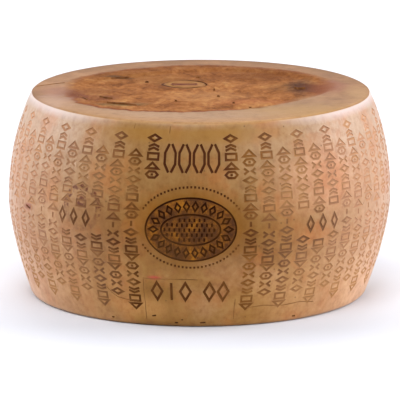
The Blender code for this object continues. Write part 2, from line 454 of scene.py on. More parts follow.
def columns_of_marks(tree):
    index = node(tree, "GeometryNodeInputIndex")
    column = node(tree, "FLOOR", node(tree, "DIVIDE", index, given["Rows"]))
    row = node(tree, "MODULO", index, given["Rows"])
    count = node(tree, "MULTIPLY", given["Columns"], given["Rows"])
    points = node(tree, "GeometryNodeMeshLine", {"Count": count})

    # Columns are counted from the front panel towards the back on both sides.
    last = node(tree, "SUBTRACT", given["Columns"], 1)
    left = node(tree, "SUBTRACT", last, column)
    step = node(tree, "MINIMUM", column, left)
    odd = node(tree, "MODULO", step, 2)
    across = node(tree, "MULTIPLY_ADD", column, given["Column pitch"], given["First column"])
    drop = node(tree, "MULTIPLY", given["Drop of odd columns"], -1)
    low = node(tree, "MULTIPLY_ADD", odd, drop, given["Lowest row of even columns"])
    up = node(tree, "MULTIPLY_ADD", row, given["Row pitch"], low)
    placed = node(tree, "GeometryNodeSetPosition",
                  {"Geometry": points, "Position": node(tree, "CombineXYZ", across, 0.0, up)})

    # The two columns by the frames are short, and the side lozenges have clear ground.
    beside = node(tree, "LESS_THAN", step, 0.5)
    under = node(tree, "LESS_THAN", row, given["Rows missing by the frames"])
    missing = node(tree, "MULTIPLY", beside, under)
    for middle, height in SIDE_GROUPS:
        near = node(tree, "COMPARE", across, middle * MM % SIDE_LENGTH, given["Clear half width"])
        level = node(tree, "COMPARE", up, height * MM, given["Clear half height"])
        missing = node(tree, "MAXIMUM", missing, node(tree, "MULTIPLY", near, level))
    wanted = node(tree, "SUBTRACT", 1, missing)

    # The figures run in a fixed order, which every second column repeats. A dash parts its halves.
    start = node(tree, "MULTIPLY", odd, 3)
    count_up = node(tree, "MULTIPLY_ADD", row, 5, start)
    figure = node(tree, "MODULO", count_up, DASH)
    dash_row = node(tree, "Mix", odd, given["Rows under an even dash"], given["Rows under an odd dash"])
    at_dash = node(tree, "COMPARE", row, dash_row, 0.5)
    chosen = node(tree, "GeometryNodeSwitch", at_dash, figure, DASH, input_type="INT")
    below = node(tree, "LESS_THAN", row, dash_row)
    turn = node(tree, "MULTIPLY", below, math.pi)

    # Worn places took a shallower print.
    depth = node(tree, "FunctionNodeRandomValue", given["Shallowest mark"], 1.0, {"Seed": given["Seed"]})
    listed = node(tree, "GeometryNodeCollectionInfo", {
        "Collection": given["Small marks"], "Separate Children": True, "Reset Children": True})
    return node(tree, "GeometryNodeInstanceOnPoints", {
        "Points": placed, "Selection": wanted, "Instance": listed, "Pick Instance": True,
        "Instance Index": chosen, "Rotation": node(tree, "CombineXYZ", 0.0, turn, 0.0),
        "Scale": node(tree, "CombineXYZ", 1.0, depth, 1.0)})


# %% Pins on the dotted arcs, petals and stitches in the oval
CIRCLE_STEPS = 128
LATTICE_COLUMNS = 13
LATTICE_ROWS = 5
LATTICE_HALF_SIZE = (30.1 * MM, 1.0, 13.7 * MM)


def around_oval(tree, name, count, centre, half_width, half_height):
    """Tools spaced along an ellipse on the flat strip."""
    tool = node(tree, "GeometryNodeObjectInfo", {"Object": given[name]}).outputs["Geometry"]
    circle = node(tree, "GeometryNodeCurvePrimitiveCircle", {"Resolution": CIRCLE_STEPS, "Radius": 1.0})
    flat = node(tree, "GeometryNodeTransform", {
        "Geometry": circle, "Translation": (0, 0, centre * MM), "Rotation": (math.pi / 2, 0, 0),
        "Scale": node(tree, "CombineXYZ", half_width, half_height, 1.0)})
    evenly = node(tree, "GeometryNodeResampleCurve", {"Curve": flat, "Count": count})
    return node(tree, "GeometryNodeInstanceOnPoints", {"Points": evenly, "Instance": tool})


def dotted_arcs(tree):
    pins = around_oval(tree, "Pin", given["Arc pins"], ARC_CENTRE, given["Arc half width"],
                       given["Arc half height"])
    place = node(tree, "SeparateXYZ", node(tree, "GeometryNodeInputPosition"))
    away = node(tree, "ABSOLUTE", place)
    at_sides = node(tree, "GREATER_THAN", away, given["Arc end"])
    return node(tree, "GeometryNodeDeleteGeometry", pins, at_sides, domain="INSTANCE")


def ring_of_petals(tree):
    middle = [(outer + inner) / 2 * MM for outer, inner in zip(*OVAL_HALF_SIZES)]
    petals = around_oval(tree, "Petal", given["Petals"], OVAL_CENTRE, *middle)
    tangent = node(tree, "GeometryNodeInputTangent")
    along = node(tree, "FunctionNodeAlignRotationToVector", {"Vector": tangent}, axis="X", pivot_axis="Y")
    tree.links.new(along.outputs[0], petals.inputs["Rotation"])
    return petals


def lattice_of_stitches(tree):
    """Short strokes in a brick pattern that fill the inner oval."""
    stitch = node(tree, "GeometryNodeObjectInfo", {"Object": given["Stitch"]}).outputs["Geometry"]
    points = node(tree, "GeometryNodeMeshLine", {"Count": LATTICE_COLUMNS * LATTICE_ROWS})
    index = node(tree, "GeometryNodeInputIndex")
    row = node(tree, "FLOOR", node(tree, "DIVIDE", index, LATTICE_COLUMNS))
    column = node(tree, "MODULO", index, LATTICE_COLUMNS)
    odd = node(tree, "MODULO", row, 2)
    shift = node(tree, "MULTIPLY_ADD", odd, 0.5, 0.25 - LATTICE_COLUMNS / 2)
    steps = node(tree, "CombineXYZ", node(tree, "ADD", column, shift), 0.0,
                 node(tree, "SUBTRACT", row, (LATTICE_ROWS - 1) / 2))
    place = node(tree, "VectorMath", steps, {"Scale": given["Lattice pitch"]}, operation="SCALE")
    share = node(tree, "VectorMath", place, LATTICE_HALF_SIZE, operation="DIVIDE")
    reach = node(tree, "VectorMath", share, operation="LENGTH")
    too_far = node(tree, "GREATER_THAN", reach, 1.0)
    centred = node(tree, "VectorMath", place, (0.0, 0.0, OVAL_CENTRE * MM), operation="ADD")
    placed = node(tree, "GeometryNodeSetPosition", {"Geometry": points, "Position": centred})
    kept = node(tree, "GeometryNodeDeleteGeometry", placed, too_far)
    return node(tree, "GeometryNodeInstanceOnPoints", {"Points": kept, "Instance": stitch})


# %% Wrap the strip round the barrel


def wrapped(tree, geometry):
    """The barrel's radius is drawn in above its belly and below it, as in barrel_radius."""
    across, inwards, up = node(tree, "SeparateXYZ", node(tree, "GeometryNodeInputPosition")).outputs
    angle = node(tree, "MULTIPLY_ADD", across, 1 / BELLY_RADIUS, FRONT_ANGLE)
    radius = node(tree, "SUBTRACT", BELLY_RADIUS, inwards)
    for sign, reach, loss, power in (
            (1, WHEEL_HEIGHT - BELLY_HEIGHT, BELLY_RADIUS - TOP_RADIUS, TOP_CURVE_POWER),
            (-1, BELLY_HEIGHT, BELLY_RADIUS - BASE_RADIUS, BASE_CURVE_POWER)):
        share = node(tree, "MULTIPLY_ADD", up, sign / reach, -sign * BELLY_HEIGHT / reach)
        share = node(tree, "MAXIMUM", share, 0.0)
        curved = node(tree, "POWER", share, power)
        radius = node(tree, "MULTIPLY_ADD", curved, -loss, radius)
    flat_place = [node(tree, "MULTIPLY", radius, node(tree, wave, angle))
                  for wave in ("COSINE", "SINE")]
    return node(tree, "GeometryNodeSetPosition",
                {"Geometry": geometry, "Position": node(tree, "CombineXYZ", *flat_place, up)})


joined = node(stencil_tree, "GeometryNodeJoinGeometry")
rings = node(stencil_tree, "GeometryNodeObjectInfo", {"Object": given["Rings"]}).outputs["Geometry"]
layouts = (columns_of_marks, dotted_arcs, ring_of_petals, lattice_of_stitches)
for part in (given["Bold punches"], rings, *(layout(stencil_tree).outputs[0] for layout in layouts)):
    stencil_tree.links.new(part, joined.inputs[0])
realised = node(stencil_tree, "GeometryNodeRealizeInstances", joined)
node(stencil_tree, "NodeGroupOutput", node(
    stencil_tree, "GeometryNodeSetMaterial",
    {"Geometry": wrapped(stencil_tree, realised), "Material": groove_material}))

# %% Make the stencil
TOOLS = {                # lines, width and depth in mm
    "Pin": ([([(-1.15, 0), (1.15, 0)], False)], 2.6, 0.9),
    "Petal": ([([(-3.2, 0), (0, 5), (3.2, 0), (0, -5)], True)], 2.1, 0.8),
    "Stitch": ([([(0, -2.0), (0, 2.0)], False)], 2.2, 0.7),
    "Rings": ([(ellipse((0.0, OVAL_CENTRE), *sizes, OVAL_POINTS), True) for sizes in OVAL_HALF_SIZES],
              2.1, 0.7),
}


def run_tree(item, tree, values):
    """Put a tree on an object, set its inputs by their identifiers, and keep the mesh it makes."""
    modifier = item.modifiers.new(tree.name, "NODES")
    modifier.node_group = tree
    for socket in tree.interface.items_tree:
        if socket.in_out == "INPUT" and socket.name in values:
            modifier[socket.identifier] = values[socket.name]
    plain_mesh(item)


tools = {label: bpy.data.objects.new(label, punch_mesh(label, lines, width * MM, depth * MM))
         for label, (lines, width, depth) in TOOLS.items()}
run_tree(stencil, stencil_tree, LAYOUT_SIZES | tools | {"Small marks": marks})
print("stencil:", len(stencil.data.polygons), "faces")

# %% [markdown]
# The cut is a Boolean difference. The punches are closed and never meet one another, so the fast
# MANIFOLD solver handles a thousand of them at once. The cut faces keep the punches' material.

# %% The hollow that the casein plate lies in
PLATE_CENTRE = Vector((-0.0175, 0.047))
PLATE_LENGTH = 0.050
PLATE_WIDTH = 0.046
PLATE_THICKNESS = 0.0016
FIT_GAP = 0.0003
PLATE_TOP = WHEEL_HEIGHT - SUNK_DEPTH
PLATE_STEPS = 72
ABOVE_TOP = 0.003        # how far the block that cuts the hollow stands out


def plate_ring(share, height):
    """Places on an ellipse like the plate's edge, this share of its size."""
    return [(x, y, height) for x, y in ellipse(
        PLATE_CENTRE, share * PLATE_LENGTH / 2, share * PLATE_WIDTH / 2, PLATE_STEPS)]


def prism(name, ring, low, high):
    """A closed upright block with this outline."""
    count = len(ring)
    mesh = bpy.data.meshes.new(name)
    mesh.from_pydata([(x, y, level) for level in (low, high) for x, y, z in ring], [],
                     [(index, (index + 1) % count, count + (index + 1) % count, count + index)
                      for index in range(count)] + [tuple(range(count)), tuple(range(count, 2 * count))])
    face_outwards(mesh)
    return mesh


def cut_away(item, tool):
    """Cut a tool's shape from an item. The cut faces keep the tool's material."""
    cut = item.modifiers.new("cut", "BOOLEAN")
    cut.operation = "DIFFERENCE"
    cut.solver = "MANIFOLD"
    cut.material_mode = "TRANSFER"
    cut.object = tool
    plain_mesh(item)
    bpy.data.objects.remove(tool)


rind.data.materials.append(side_material)
hollow = add_object("hollow", prism("hollow", plate_ring(1.0, 0.0), PLATE_TOP - PLATE_THICKNESS,
                                    WHEEL_HEIGHT + ABOVE_TOP))
hollow.data.materials.append(top_material)
cut_away(rind, hollow)
cut_away(rind, stencil)
print("with the hollow and the marks:", len(rind.data.polygons), "faces")

# %% [markdown]
# Age adds what no stencil made: fine cracks and scratches, nicks along the base, a gash on the
# far left, and small pits where the top has dried. Cracks and nicks have their own places, and
# the widest crack crosses the rim on the left. The pits are scattered by Geometry Nodes with a
# fixed seed, never closer than their own size.

# %% Cracks and nicks
SIDE_CRACKS = (          # (across, up) in mm on the flat strip
    [(70, 22.5), (92, 24), (118, 21.5), (143, 23), (166, 20)],
    [(-106, 46), (-99, 38), (-91, 33), (-79, 30.8), (-64, 30.4)],
    [(-56.5, 59), (-44, 58.6), (-20, 59.2), (9, 58.8)],
    [(-56, 57.6), (-56.4, 44), (-55.8, 29), (-56.3, 8)],
    [(54.6, 34), (53.9, 24), (54.5, 9)],
    [(-74, 231.6), (-74.6, 226)],
    [(-28, 230.8), (-28.5, 223)],
)
SIDE_NICKS = (           # the last one is the gash
    [(-104.5, 6.2), (-101, 7.0)], [(-48.5, 12.6), (-43.5, 13.4)], [(136.5, 6.0), (141, 5.6)],
    [(12, 5.6), (19, 5.9)], [(-20, 5.5), (-16, 5.3)], [(-11.5, 9.0), (-9.5, 9.2)],
    [(-234, 120.6), (-229, 119.2), (-224.5, 118.4)],
)
TOP_CRACKS = (           # (x, y) in mm on the top face
    [(-147, -14), (-142, -27), (-136, -37), (-130, -50)],
    [(-116, -31), (-110, -38), (-101, -43)],
    [(-107, -66), (-96, -72), (-84, -74), (-73, -84)],
    [(-105, 80), (-98, 83), (-84, 87)],
    [(108, 24), (113, 19), (121, 21)],
)
RIM_CRACK = (
    [(-190.5, 22), (-184, 27), (-176, 33), (-168, 39), (-158, 45)],
)


def laid_flat(mesh):
    """Turn a flat punch mesh so that its outward side looks up."""
    mesh.transform(Matrix.Rotation(math.radians(-90), 4, "X"))
    return mesh


def on_top_face(mesh):
    laid_flat(mesh).transform(Matrix.Translation((0, 0, WHEEL_HEIGHT)))
    return mesh


def round_the_side(mesh):
    """The same wrap as in the stencil's tree."""
    for corner in mesh.vertices:
        angle = corner.co.x / BELLY_RADIUS + FRONT_ANGLE
        radius = barrel_radius(corner.co.z) - corner.co.y
        corner.co.xy = radius * math.cos(angle), radius * math.sin(angle)
    return mesh


SIGNS_OF_AGE = (         # name, lines, width and depth in mm, material, and how they are laid
    ("side_cracks", SIDE_CRACKS, 0.8, 0.5, crease_material, round_the_side),
    ("side_nicks", SIDE_NICKS, 1.9, 1.2, pit_material, round_the_side),
    ("top_cracks", TOP_CRACKS, 1.5, 0.6, pit_material, on_top_face),
    ("rim_crack", RIM_CRACK, 3.2, 1.4, pit_material, on_top_face),
)
for name, lines, width, depth, material, laid in SIGNS_OF_AGE:
    mesh = punch_mesh(name, [(line, False) for line in lines], width * MM, depth * MM)
    tool = add_object(name, laid(mesh))
    tool.data.materials.append(material)
    cut_away(rind, tool)
print("cracked rind:", len(rind.data.polygons), "faces")

# %% Pits
PIT_SIZES = {
    "Corners": 48,
    "Reach": 0.128,
    "Least distance": 12 * MM,
    "Density": 160.0,
    "Clear of the plate": 33 * MM,
    "Most turn": 0.5,
    "Smallest": 0.4,
    "Height": WHEEL_HEIGHT,
    "Seed": 7,
    "Size seed": 3,
}
layout, given = new_layout("scatter pits on the top", {"Pit": "Geometry"}, PIT_SIZES)


def scattered_pits(tree):
    disc = node(tree, "GeometryNodeMeshCircle", {"Vertices": given["Corners"], "Radius": given["Reach"]},
                fill_type="NGON")
    points = node(tree, "GeometryNodeDistributePointsOnFaces", {
        "Mesh": disc, "Distance Min": given["Least distance"], "Density Max": given["Density"],
        "Seed": given["Seed"]}, distribute_method="POISSON")
    away = node(tree, "VectorMath", node(tree, "GeometryNodeInputPosition"), (*PLATE_CENTRE, 0.0),
                operation="DISTANCE")
    by_plate = node(tree, "LESS_THAN", away, given["Clear of the plate"])
    kept = node(tree, "GeometryNodeDeleteGeometry", points, by_plate)
    least_turn = node(tree, "MULTIPLY", given["Most turn"], -1)
    turn = node(tree, "FunctionNodeRandomValue", least_turn, given["Most turn"], {"Seed": given["Seed"]})
    size = node(tree, "FunctionNodeRandomValue", given["Smallest"], 1.0, {"Seed": given["Size seed"]})
    pits = node(tree, "GeometryNodeInstanceOnPoints", {
        "Points": kept, "Instance": given["Pit"], "Scale": size,
        "Rotation": node(tree, "CombineXYZ", 0.0, 0.0, turn)})
    raised = node(tree, "GeometryNodeTransform", {
        "Geometry": pits, "Translation": node(tree, "CombineXYZ", 0.0, 0.0, given["Height"])})
    return node(tree, "GeometryNodeRealizeInstances", raised)


node(layout, "NodeGroupOutput", node(
    layout, "GeometryNodeSetMaterial", {"Geometry": scattered_pits(layout), "Material": pit_material}))
pits = add_object("pits", laid_flat(punch_mesh(
    "pits", [([(-2.2, 0), (-0.4, 0.7), (2.2, 0.1)], False)], 1.5 * MM, 0.5 * MM)))
run_tree(pits, layout, PIT_SIZES)
print("pits:", len(pits.data.polygons), "faces")
cut_away(rind, pits)
rind.data.calc_loop_triangles()
print("rind:", len(rind.data.loop_triangles), "triangles", [item.name for item in rind.data.materials])

# %% [markdown]
# So far the drum is perfectly even. The real one leans a little, swells between the straps of
# its mould, and has a sunk rough middle on top with a ragged edge. Every corner of the mesh is
# moved by those rules. The values that the finishes need are kept on the mesh: a flat map of
# the side (across and up, in metres), how far inside the brown's edge a corner of the top lies,
# and how soft that edge is there.

# %% Make it uneven
RELIEF_SIDE = 0.25 * MM
RELIEF_FACE = 0.45 * MM
SIDE_WAVES = 45          # noise waves per metre
FACE_WAVES = 70
CALM_RIM = 0.25          # share of the face's roughness that its smooth rim has
CALM_FOOT = 0.006        # height over which the side's relief fades to the flat base
NEAR_TOP = WHEEL_HEIGHT - 0.02
ON_TOP = WHEEL_HEIGHT - 0.00001
FAR_OUTSIDE = -0.1       # brown_depth and brown_soft of corners far from the top
ANY_SOFTNESS = 0.01
BROWN_EDGE = (           # angle in degrees; reach of the brown and width of its soft edge in mm
    (-180, 151, 16), (-165, 155, 10), (-150, 160, 6), (-135, 155, 5), (-120, 147, 5), (-105, 137, 5),
    (-90, 130, 5), (-75, 125, 5), (-60, 128, 8), (-45, 121, 16), (-30, 118, 20), (-15, 124, 20),
    (0, 147, 20), (15, 155, 22), (30, 159, 12), (45, 160, 9), (60, 157, 9), (75, 155, 9), (90, 156, 9),
    (105, 153, 9), (120, 153, 9), (135, 156, 9), (150, 160, 10), (165, 157, 14), (180, 151, 16))
BROWN_TURNS, BROWN_REACH, BROWN_SOFT = np.transpose(BROWN_EDGE)


def values_of(items, key, width=1, kind=float):
    """One value, or one row of values, for each item of a mesh."""
    values = np.zeros(len(items) * width, kind)
    items.foreach_get(key, values)
    return values.reshape(-1, width) if width > 1 else values


even = values_of(rind.data.vertices, "co", 3)
brown_depth = np.full(len(even), FAR_OUTSIDE)
brown_soft = np.full(len(even), ANY_SOFTNESS)
moved = np.zeros_like(even)
for index, (x, y, height) in enumerate(even):
    radius, angle = math.hypot(x, y), math.atan2(y, x)
    if height > NEAR_TOP:
        brown_depth[index] = np.interp(math.degrees(angle), BROWN_TURNS, BROWN_REACH) * MM - radius
        brown_soft[index] = np.interp(math.degrees(angle), BROWN_TURNS, BROWN_SOFT) * MM
    spot = Vector((x, y, height))
    if height > ON_TOP and radius < TOP_RADIUS - TOP_EDGE_ROUND:
        inside = min(max((lip_radius(angle) - radius) / LIP_WIDTH, 0.0), 1.0)
        rough = noise.fractal(spot * FACE_WAVES, 1.0, 2.2, 4) * RELIEF_FACE
        height = top_height(x, y) + rough * (CALM_RIM + (1 - CALM_RIM) * inside)
    level = min(height, WHEEL_HEIGHT)
    rough = noise.fractal(spot * SIDE_WAVES, 1.0, 2.0, 3) * RELIEF_SIDE * min(1, max(height, 0) / CALM_FOOT)
    grow = 1 + (swell(angle, level) + rough) / barrel_radius(level)
    moved[index] = (x * grow + LEAN * (height - BELLY_HEIGHT), y * grow, max(height, 0.0))
rind.data.vertices.foreach_set("co", moved.ravel())
for name, values in (("brown_depth", brown_depth), ("brown_soft", brown_soft)):
    rind.data.attributes.new(name, "FLOAT", "POINT").data.foreach_set("value", values)
rind.data.update()
print("uneven rind spans", [round(v * 1000, 1) for v in np.ptp(moved, axis=0)], "mm")

# %% Two flat maps: the strip for the finishes, and a page without overlaps for baking
PAGE = 0.826             # side of the square page in metres
PAGE_GAP = 0.008
TOP_SCALE = 0.80         # sizes of the two discs on the page
BASE_SCALE = 0.50
FACING = 0.75            # a face whose normal is this upright belongs to a disc
TOP_ZONE = WHEEL_HEIGHT - 0.012
SMOOTHEST_CORNER = math.radians(32)


def strip_map(places, middles):
    """Across of each face corner and of its face. No face spans the seam at the back."""
    turn = 2 * math.pi
    own, middle = (np.arctan2(points[:, 1], points[:, 0]) - FRONT_ANGLE for points in (places, middles))
    middle = (middle + math.pi) % turn - math.pi
    own += turn * np.round((middle - own) / turn)
    return own * BELLY_RADIUS, middle * BELLY_RADIUS


def baking_map(places, across, middle_across, on_top, on_base):
    """The side in two halves under the discs of the top and the base."""
    wide = (PAGE - 2 * PAGE_GAP) / (SIDE_LENGTH / 2)
    back = np.abs(middle_across) > SIDE_LENGTH / 4
    turned = np.where(back, across - np.where(middle_across > 0, 1, -1) * SIDE_LENGTH / 2, across)
    u = PAGE_GAP + (turned + SIDE_LENGTH / 4) * wide
    v = PAGE_GAP + places[:, 2] + np.where(back, WHEEL_HEIGHT + PAGE_GAP, 0.0)
    disc_low = 3 * PAGE_GAP + 2 * WHEEL_HEIGHT
    left = PAGE_GAP
    for mask, scale in ((on_top, TOP_SCALE), (on_base, BASE_SCALE)):
        reach = TOP_RADIUS * scale
        u = np.where(mask, left + reach + places[:, 0] * scale, u)
        v = np.where(mask, disc_low + reach + places[:, 1] * scale, v)
        left += PAGE_GAP + 2 * reach
    return np.column_stack((u, v)) / PAGE


faces = rind.data.polygons
face_middles, face_normals = values_of(faces, "center", 3), values_of(faces, "normal", 3)
owner = np.repeat(np.arange(len(faces)), values_of(faces, "loop_total", kind=int))
middles, upright = face_middles[owner], face_normals[owner, 2]
places = even[values_of(rind.data.loops, "vertex_index", kind=int)]
across, middle_across = strip_map(places, middles)
on_top = (upright > FACING) & (middles[:, 2] > TOP_ZONE)
for name, values in (("OFBake", baking_map(places, across, middle_across, on_top, upright < -FACING)),
                     ("strip", np.column_stack((across, places[:, 2])))):
    layer = rind.data.uv_layers.new(name=name)
    layer.data.foreach_set("uv", np.asarray(values, np.float32).ravel())
rind.data.set_sharp_from_angle(angle=SMOOTHEST_CORNER)
print("maps:", [layer.name for layer in rind.data.uv_layers])

# %% The side's faces that lie on the top face take the top's material
FLAT_ENOUGH = 0.80
slots = values_of(faces, "material_index", kind=int)
names = [material.name for material in rind.data.materials]
top = ((slots == names.index(side_material.name)) & (face_normals[:, 2] > FLAT_ENOUGH)
       & (face_middles[:, 2] > TOP_ZONE))
slots[top] = names.index(top_material.name)
faces.foreach_set("material_index", slots)
print("faces on the top:", top.sum(), "and faces by material:", dict(zip(names, np.bincount(slots))))

# %% [markdown]
# The casein plate is a small disc that sinks into the fresh cheese. The solid is a plain disc, so
# a detailed one replaces it: a turned plate with two raised rings and a slightly domed middle.

# %% Make the casein plate
PLATE_PROFILE = (        # share of the radius, height above the plate's top in mm
    (0.0, 0.15), (0.25, 0.15), (0.45, 0.12), (0.58, 0.1), (0.60, 0.35), (0.64, 0.35), (0.66, 0.05),
    (0.84, 0.0), (0.86, 0.4), (0.93, 0.4), (0.97, 0.1), (1.0, -0.5), (1.0, -1.6), (0.0, -1.6))
SMOOTHEST_RING = math.radians(40)


def make_plate():
    fit = 1 - 2 * FIT_GAP / PLATE_WIDTH
    form = bmesh.new()
    rings = []
    for share, height in PLATE_PROFILE:
        level = PLATE_TOP + height * MM
        places = plate_ring(share * fit, level) if share else [(*PLATE_CENTRE, level)]
        rings.append([form.verts.new(place) for place in places])
    for upper, lower in zip(rings, rings[1:]):
        for index in range(PLATE_STEPS):
            after = (index + 1) % PLATE_STEPS
            corners = [upper[index % len(upper)], upper[after % len(upper)],
                       lower[after % len(lower)], lower[index % len(lower)]]
            form.faces.new(list(dict.fromkeys(corners)))
    return add_object("casein_plate_detailed", mesh_of(form, "casein_plate_detailed"))


plate = make_plate()
plate.data.shade_smooth()
plate.data.set_sharp_from_angle(angle=SMOOTHEST_RING)
print("plate:", len(plate.data.polygons), "faces")

# %% [markdown]
# Now the finishes. Each one starts from a slow pattern of patches, and tints are laid over it like
# thin coats of stain. A coat's mask comes from where it lies (how far across, how high, how far
# out) and from noise, so a finish is mostly a table of coats.

# %% Coats, soft spots and shades
BREAK_UP = 1.1           # how far a cloud pushes the edge of a spot in and out, in half sizes
CORE = 0.3               # how far out a spot is at full strength, in half sizes


def grain(millimetres, detail, roughness=0.5, distortion=0.0):
    """Settings of a noise whose patches are this big."""
    return {"Scale": 1000 / millimetres, "Detail": detail, "Roughness": roughness, "Distortion": distortion}


def local_place(tree, place, centre, half_size):
    """A place seen from a centre, in half sizes. Both are flat, and in mm."""
    scale = [1 / (size * MM) for size in half_size]
    shift = [-middle * MM * part for middle, part in zip(centre, scale)]
    return node(tree, "Mapping", {"Vector": place, "Location": (*shift, 0.0), "Scale": (*scale, 0.0)})


def reach_from(tree, place, centre, half_size):
    """How far out a place lies: 0 in the oval's middle, 1 on its edge."""
    return node(tree, "VectorMath", local_place(tree, place, centre, half_size), operation="LENGTH")


def soft_spot(tree, place, centre, half_size, cloud, strength=1.0, core=CORE):
    """A soft oval mask, broken up by a cloud of noise: full in its core, 0 past its edge."""
    reach = reach_from(tree, place, centre, half_size)
    broken = node(tree, "MULTIPLY_ADD", cloud, BREAK_UP, reach)
    return node(tree, "MapRange", broken, BREAK_UP / 2 + 1, BREAK_UP / 2 + core, 0.0, strength)


def spotted(tree, colour, place, cloud, spots, core=CORE):
    """Lay soft spots over a colour. Each is its centre and half sizes in mm, tint and strength."""
    for centre, half_size, tint, strength in spots:
        mask = soft_spot(tree, place, centre, half_size, cloud, strength, core)
        colour = node(tree, "Mix", mask, colour, tint, data_type="RGBA")
    return colour


def coated(tree, colour, fields, coats):
    """Lay tints over a colour. A coat is a tint, its strength, and ranges of the named fields. Each
    range gives a mask from 0 to 1, or between two values of its own, and the masks are multiplied."""
    for tint, strength, *ranges in coats:
        mask = strength
        for name, *span in ranges:
            mask = node(tree, "MULTIPLY", node(tree, "MapRange", fields[name], *span), mask)
        colour = node(tree, "Mix", mask, colour, tint, data_type="RGBA")
    return colour


def shaded(tree, colour, strength, pattern, stops):
    """Darken a colour by the shades that a ramp gives to a pattern."""
    shade = node(tree, "ValToRGB", pattern, stops=stops)
    return node(tree, "Mix", strength, colour, shade, data_type="RGBA", blend_type="MULTIPLY")


def strip_fields(tree):
    """Where a point of the side lies: its place, the strip, how far across from the front, how high."""
    place = node(tree, "TexCoord").outputs["Object"]
    strip = node(tree, "UVMap", uv_map="strip")
    sideways, up, unused = node(tree, "SeparateXYZ", strip).outputs
    across = node(tree, "ABSOLUTE", sideways)
    return place, strip, {"across": across, "up": up}


# %% [markdown]
# The rind is the dried, oiled skin of the cheese itself. Washed in brine and wiped with oil for
# months it turns amber, mottled and satin, with darker specks. A painted sheen makes it paler and
# pinker at the sides and greyer on the shoulder, painted light from the floor makes the foot
# lighter, and a painted highlight runs along the upper edge. The band under it stays smooth and ochre.

# %% Rind: its skin. Ranges are in metres, spots in mm
# Painted sheen: where the sides are painted paler for the light that grazes them, strongest at the sides
# and weaker at the back.
PAINTED_SHEEN_SIDES = (("across", 0.07, 0.26), ("across", 0.28, 0.42, 1.0, 0.4))
RIND_PATCHES = ((0.36, "#8C6228"), (0.47, "#956A31"), (0.56, "#A07640"), (0.66, "#AE8456"))
RIND_COATS = (           # drier and greyer above; a painted sheen makes the sides paler and pinker and the shoulder greyer
    ("#A07C52", 0.6, ("up", 0.11, 0.16)),
    ("#C69E82", 0.65, *PAINTED_SHEEN_SIDES),
    ("#A0968C", 0.36, ("across", 0.06, 0.22), ("up", 0.14, 0.22)),
)
RIND_SPOTS = (           # darker round the left group and beside the oval, paler right and at the foot
    ((-108, 108), (80, 50), "#764820", 0.4),
    ((170, 165), (85, 50), "#D49C7E", 0.4),
    ((62, 105), (42, 72), "#704814", 0.5),
    ((122, 105), (50, 35), "#9C6024", 0.3),
    ((40, 56), (40, 26), "#8C561A", 0.45),
    ((-55, 22), (55, 20), "#C8965A", 0.55),
    ((-88, 50), (35, 42), "#C08E5C", 0.35),
)
RUN_SHADES = ((0.34, "#D2BFAE"), (0.54, "#FFFFFF"))
MOTTLE_SHADES = ((0.32, "#C6A888"), (0.48, "#F2E6D6"), (0.62, "#FFFFFF"))
BAND_LEVELS = ((0.42, "#000000"), (0.58, "#C0C0C0"), (0.78, "#E0E0E0"), (0.92, "#000000"))
EDGE_COATS = (           # the ochre band, a painted highlight along the upper edge, and a pale painted highlight on the edge at the sides
    ("#98691E", 1.0, ("band", 0.0, 1.0), ("across", 0.15, 0.05)),
    ("#C49A68", 0.2, ("up", WHEEL_HEIGHT - 0.005, WHEEL_HEIGHT - 0.002)),
    ("#C6BABC", 0.6, ("up", WHEEL_HEIGHT - 0.011, WHEEL_HEIGHT - 0.003), ("across", 0.09, 0.22)),
)


def rind_skin(tree, place, strip, fields):
    patches = node(tree, "TexNoise", place, grain(80, 3, 0.5, 0.4))
    colour = node(tree, "ValToRGB", patches, stops=RIND_PATCHES)
    colour = coated(tree, colour, fields, RIND_COATS)
    colour = spotted(tree, colour, strip, node(tree, "TexNoise", place, grain(28, 4, 0.6)), RIND_SPOTS)

    # Painted light: the foot is made lighter, most towards the sides, for the light that the floor bounces
    # onto it.
    most = node(tree, "MapRange", fields["across"], 0.03, 0.13, 1.08, 1.32)
    painted_floor_bounce = node(tree, "MapRange", fields["up"], 0.11, 0.03, 1.0, most)
    colour = node(tree, "HueSaturation", {"Color": colour, "Value": painted_floor_bounce, "Saturation": 1.02})

    # Oil soaked in unevenly: orange patches, and streaks where it ran down.
    fields["oil"] = node(tree, "TexNoise", place, grain(42, 5, 0.6))
    colour = coated(tree, colour, fields, [("#B0682E", 0.42, ("oil", 0.50, 0.64))])
    down = node(tree, "Mapping", {"Vector": strip, "Scale": (1.0, 0.3, 1.0)})
    colour = shaded(tree, colour, 0.28, node(tree, "TexNoise", down, grain(9, 4, 0.6)), RUN_SHADES)
    colour = shaded(tree, colour, 0.5, node(tree, "TexNoise", place, grain(7, 6, 0.66)), MOTTLE_SHADES)
    height = node(tree, "MapRange", fields["up"], 0.19, WHEEL_HEIGHT)
    fields["band"] = node(tree, "ValToRGB", height, stops=BAND_LEVELS)
    return coated(tree, colour, fields, EDGE_COATS)


# %% [markdown]
# The oval is burned in with a hot iron when the cheese has passed its test. The char is almost
# black in blotches and dull, and the skin is browned a little way round it. A smeared ring of
# violet ink, a red streak and a dark gash are left from handling.

# %% Rind: the burned oval and the ink
OVAL = ((0.0, OVAL_CENTRE), OVAL_HALF_SIZES[0])
CHAR = ((0.37, "#3A1A00"), (0.47, "#522A00"), (0.55, "#744200"), (0.64, "#965E06"))
MOST_BURNED = 0.92
SPARED = 0.12            # how much weaker the char is at its lower left
STAMP_CENTRE = (-133, 134)
STAMP_RINGS = (          # centre and radius in mm, and the hole's share of it
    (STAMP_CENTRE, 27.5, 0.74),
    ((-134, 141), 7.5, 0.3),
)
HANDLING_SPOTS = (
    ((-43, 60), (10, 3.5), "#C0403A", 0.6),
    ((-228.5, 119.5), (14, 5), "#7A2008", 0.8),
)


